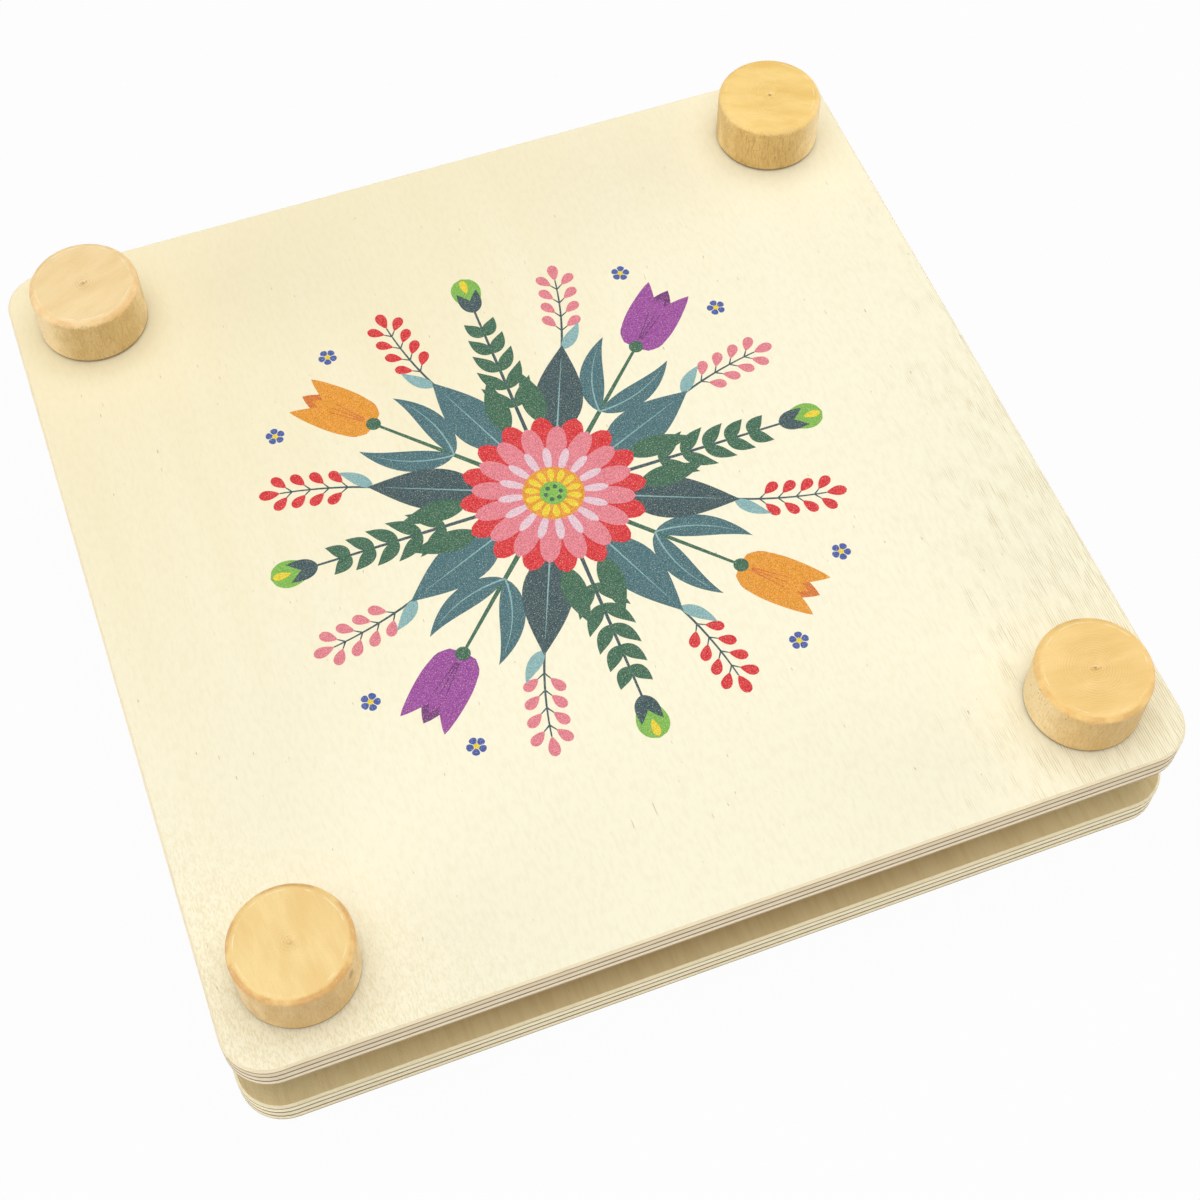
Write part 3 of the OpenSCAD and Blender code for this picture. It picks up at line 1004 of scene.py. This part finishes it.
def draw_posy(art):
    """A sunny blossom in the middle, with tulips, fern sprigs, leaves and berry twigs all round it."""
    for k in range(4):
        draw_fern(art, 90 * k)
        petals, inside = TULIP_INKS[k % 2]
        draw_tulip(art, 45 + 90 * k, petals, inside)
    for k in range(8):
        side = 1 if k % 2 else -1
        heading = 22.5 + 45 * k
        draw_twig(art, heading, BERRY_INKS[k // 2 % 2], side)
        at = polar(CENTRE, heading, LARGE_LEAF_START)
        art.leaf(LEAF_INKS[k % 2], at, heading, length=20, width=8.6, rib="mist")
        at = polar(CENTRE, heading + SMALL_LEAF_OFFSET * side, SMALL_LEAF_START)
        turn = heading + SMALL_LEAF_ANGLE * side
        art.leaf("green", at, turn, length=12, width=4.2, bend=12 * side)
    art.ring("red", CENTRE, count=16, start=5, end=16.2, width=4.4, turn=11.25)
    art.ring("salmon", CENTRE, count=16, start=4, end=14.2, width=3.6)
    art.ring("blush", CENTRE, count=16, start=4, end=9.6, width=1.5, turn=11.25)
    art.dot("orange", CENTRE, radius=5.4)
    art.ring("yellow", CENTRE, count=14, start=2.2, end=5.0, width=1.2)
    art.dot("lime", CENTRE, radius=2.4)
    for i in range(6):
        art.dot("green", polar(CENTRE, 60 * i, 1.35), radius=0.42)


def draw_tulip(art, heading, petals, inside):
    """A stem with two long leaves and a tulip on its end."""
    art.stem("green", polar(CENTRE, heading, STEM_START), heading, length=24, width=0.9)
    at = polar(CENTRE, heading, TULIP_LEAF_START)
    for side in (-1, 1):
        turn = heading + TULIP_LEAF_ANGLE * side
        art.leaf("teal", at, turn, length=17, width=4.4, bend=-46 * side, rib="mist")
    base = polar(CENTRE, heading, TULIP_START)
    art.petal(inside, base, heading, length=14.5, width=8.6, form=cup_form)
    for side in (-1, 1):
        turn = heading + TULIP_PETAL_ANGLE * side
        art.petal(petals, base, turn, length=15.4, width=6.4, form=cup_form)
    art.petal(petals, polar(base, heading, 0.4), heading, length=12, width=5.6, form=cup_form)
    for turn in (heading - VEIN_ANGLE, heading, heading + VEIN_ANGLE):
        art.stem(inside, polar(base, turn, 2.2), turn, length=6.4, width=0.3)
    art.dot("green", polar(base, heading, 0.3), radius=1.3)


def draw_fern(art, heading):
    """A straight stem with paired leaflets and a bud on its end."""
    art.stem("slate", polar(CENTRE, heading, STEM_START), heading, length=31, width=0.7)
    for step in range(5):
        at = polar(CENTRE, heading, LEAFLET_START + LEAFLET_PITCH * step)
        for side in (-1, 1):
            turn = heading + LEAFLET_ANGLE * side
            art.leaf("green", at, turn, length=7.4 - 0.7 * step, width=2.5, bend=-18 * side)
    tip = polar(CENTRE, heading, BUD_START)
    art.petal("lime", tip, heading, length=8.2, width=5.4)
    for side in (-1, 1):
        art.leaf("slate", tip, heading + SEPAL_ANGLE * side, length=5.4, width=2.2, bend=-8 * side)
    art.petal("yellow", polar(tip, heading, 4.6), heading, length=3.2, width=1.4)


def draw_twig(art, heading, berries, side):
    """A thin curved twig with berries in pairs, beyond a large leaf, and a small flower beside it."""
    start = polar(CENTRE, heading, TWIG_START)
    spine = art.stem("slate", start, heading, length=17, width=0.45, bend=14 * side)
    for x, y, angle in spine[5::3]:
        for way in (-1, 1):
            turn = math.degrees(angle) + BERRY_ANGLE * way
            art.stem("slate", (x, y), turn, length=1.7, width=0.3)
            art.petal(berries, polar((x, y), turn, 1.4), turn, length=3.2, width=1.9)
    x, y, angle = spine[-1]
    art.petal(berries, (x, y), math.degrees(angle), length=3.6, width=2.0)
    at = polar(CENTRE, heading, TWIG_LEAF_START)
    art.leaf("mist", at, heading - TWIG_LEAF_ANGLE * side, length=7, width=2.3, bend=24 * side)
    draw_star(art, polar(CENTRE, heading - STAR_OFFSET * side, STAR_START), heading)


def draw_star(art, at, heading):
    """A small five-petalled flower."""
    art.ring("blue", at, count=5, start=0.3, end=1.7, width=1.3, turn=heading)
    art.dot("yellow", at, radius=0.5)


def make_print():
    """The printed design on the upper board, one piece for each ink."""
    art = Print()
    draw_posy(art)
    for name, colour in INKS.items():
        piece = mesh_object(f"print_{name}", art.fill(name))
        piece.data.materials.append(ink(name, colour))
        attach(piece, "lid")


def dress(node, material):
    """Gives a CAD node its finish."""
    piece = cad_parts[node]
    piece.data.materials.clear()
    piece.data.materials.append(material)


def dress_nodes():
    """Gives the boards, inserts, cards and sheets their finishes."""
    dress("top_board", plywood("plywood_upper", lid_low.z, UPPER_PLIES, LID_SEED, fair_top=True))
    dress("bottom_board", plywood("plywood_lower", base_low.z, LOWER_PLIES_WITH_PAINTED_LIGHT, BASE_SEED, fair_top=False))
    finish_of = {
        "insert_": metal("brass", BRASS, BRASS_DARK, roughness=0.3),
        "card_": kraft_card(),
        "blotter_": blotting_paper(),
    }
    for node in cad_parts:
        for start, material in finish_of.items():
            if node.startswith(start):
                dress(node, material)


# Camera: its place in board widths from the upper face's centre, its angles in degrees
CAMERA_SHARES = (-0.400, -1.163, 1.835)
CAMERA_YAW = 69.03
CAMERA_PITCH = -58.98
CAMERA_ROLL = -0.56
CAMERA_LENS = 61.875
CAMERA_SENSOR_W = 36
CAMERA_CLIP = 10 * MM


def add_camera():
    """The camera that sees the press as the photograph does."""
    yaw, pitch, roll = (math.radians(v) for v in (CAMERA_YAW, CAMERA_PITCH, CAMERA_ROLL))
    forward = Vector((math.cos(pitch) * math.cos(yaw), math.cos(pitch) * math.sin(yaw), math.sin(pitch)))
    right = forward.cross(Vector((0, 0, 1))).normalized()
    up = right.cross(forward)
    across = math.cos(roll) * right - math.sin(roll) * up
    upward = math.sin(roll) * right + math.cos(roll) * up
    data = bpy.data.cameras.new("camera")
    data.sensor_fit = "HORIZONTAL"
    data.sensor_width = CAMERA_SENSOR_W
    data.lens = CAMERA_LENS
    data.clip_start = CAMERA_CLIP
    camera = bpy.data.objects.new("camera", data)
    place = Vector((0, 0, lid_high.z)) + BOARD_W * Vector(CAMERA_SHARES)
    turn = Matrix((across, upward, -forward)).transposed().to_4x4()
    camera.matrix_world = Matrix.Translation(place) @ turn
    bpy.context.scene.collection.objects.link(camera)
    bpy.context.scene.camera = camera


# Floor, sky and backdrop, in metres and strengths
FLOOR_SIZE = 6.0
FLOOR_DROP = 0.02 * MM
FLOOR_GREY = (0.6, 0.6, 0.6, 1)
FLOOR_GLOW_SHARE = 0.955
FLOOR_FADE_START = 0.2
FLOOR_FADE_END = 0.9
SKY_START = 0.35
SKY_LOW = 0.1
SKY_HIGH = 0.54
WHITE = (1, 1, 1, 1)
BACKDROP = 1.0


def seen_directly(tree):
    """1 for camera rays, also in a reflection or through something clear, 0 for light on the object."""
    rays = add_node(tree, "ShaderNodeLightPath").outputs
    seen = rays["Is Camera Ray"]
    for kind in ("Is Glossy Ray", "Is Transmission Ray"):
        seen = add_node(tree, "ShaderNodeMath", {0: seen, 1: rays[kind]}, operation="MAXIMUM").outputs[0]
    return seen


def floor_material():
    """Pale floor that keeps the object's shadow and fades into the backdrop further away."""
    material = bpy.data.materials.new("floor")
    material.use_nodes = True
    tree = material.node_tree
    tree.nodes.clear()
    place = add_node(tree, "ShaderNodeTexCoord").outputs["Object"]
    away = add_node(tree, "ShaderNodeVectorMath", {0: place}, operation="LENGTH").outputs["Value"]
    fade = add_node(tree, "ShaderNodeMapRange", {
        "Value": away, "From Min": FLOOR_FADE_START, "From Max": FLOOR_FADE_END, "To Min": FLOOR_GLOW_SHARE,
    }).outputs[0]
    share = add_node(tree, "ShaderNodeMath", {0: seen_directly(tree), 1: fade}, operation="MULTIPLY")
    diffuse = add_node(tree, "ShaderNodeBsdfDiffuse", {"Color": FLOOR_GREY})
    glow = add_node(tree, "ShaderNodeEmission", {"Color": WHITE, "Strength": BACKDROP})
    mix = add_node(tree, "ShaderNodeMixShader", {
        0: share.outputs[0], 1: diffuse.outputs[0], 2: glow.outputs[0],
    })
    add_node(tree, "ShaderNodeOutputMaterial", {"Surface": mix.outputs[0]})
    return material


def add_floor():
    """A wide level floor just under the object."""

    def build(shape):
        bmesh.ops.create_grid(shape, x_segments=1, y_segments=1, size=FLOOR_SIZE / 2)

    floor = mesh_object("floor", build)
    floor.location.z = cad_low.z - FLOOR_DROP
    floor.data.materials.append(floor_material())


def add_light(name, place, width, height, power):
    """A lamp panel that faces the origin."""
    data = bpy.data.lights.new(name, "AREA")
    data.shape = "RECTANGLE"
    data.size = width
    data.size_y = height
    data.energy = power
    light = bpy.data.objects.new(name, data)
    light.location = place
    light.rotation_euler = (-Vector(place)).to_track_quat("-Z", "Y").to_euler()
    bpy.context.scene.collection.objects.link(light)


def add_world():
    """Soft light from the sky, most of it from overhead, and an even pale backdrop."""
    world = bpy.data.worlds.new("world")
    world.use_nodes = True
    tree = world.node_tree
    place = add_node(tree, "ShaderNodeTexCoord").outputs["Generated"]
    up = add_node(tree, "ShaderNodeSeparateXYZ", {0: place}).outputs["Z"]
    light = add_node(tree, "ShaderNodeMapRange", {
        "Value": up, "From Min": SKY_START, "From Max": 1.0, "To Min": SKY_LOW, "To Max": SKY_HIGH,
    }).outputs[0]
    strength = add_node(tree, "ShaderNodeMix", {"Factor": seen_directly(tree), "A": light, "B": BACKDROP})
    background = tree.nodes["Background"]
    put(tree, background.inputs["Color"], WHITE)
    put(tree, background.inputs["Strength"], strength.outputs["Result"])
    bpy.context.scene.world = world


bpy.context.scene.view_settings.view_transform = "Standard"
add_camera()
add_floor()
add_world()
add_light("key", place=(0.0, 0.12, 1.3), width=1.5, height=1.5, power=13.8)
add_light("front", place=(-0.2, -1.6, 0.2), width=1.2, height=0.34, power=9.4)
add_light("left", place=(-1.5, 0.1, 0.26), width=1.2, height=0.4, power=8.4)
add_light("right", place=(1.5, 0.1, 0.26), width=1.2, height=0.4, power=8.4)

dress_nodes()
fresh_wood = torn_wood()
steel = metal("zinc_plate", ZINC, ZINC_DARK, roughness=0.34)
for corner in CORNERS:
    make_knob(corner, fresh_wood)
for corner in CORNERS:
    make_bolt(corner, steel)
make_print()
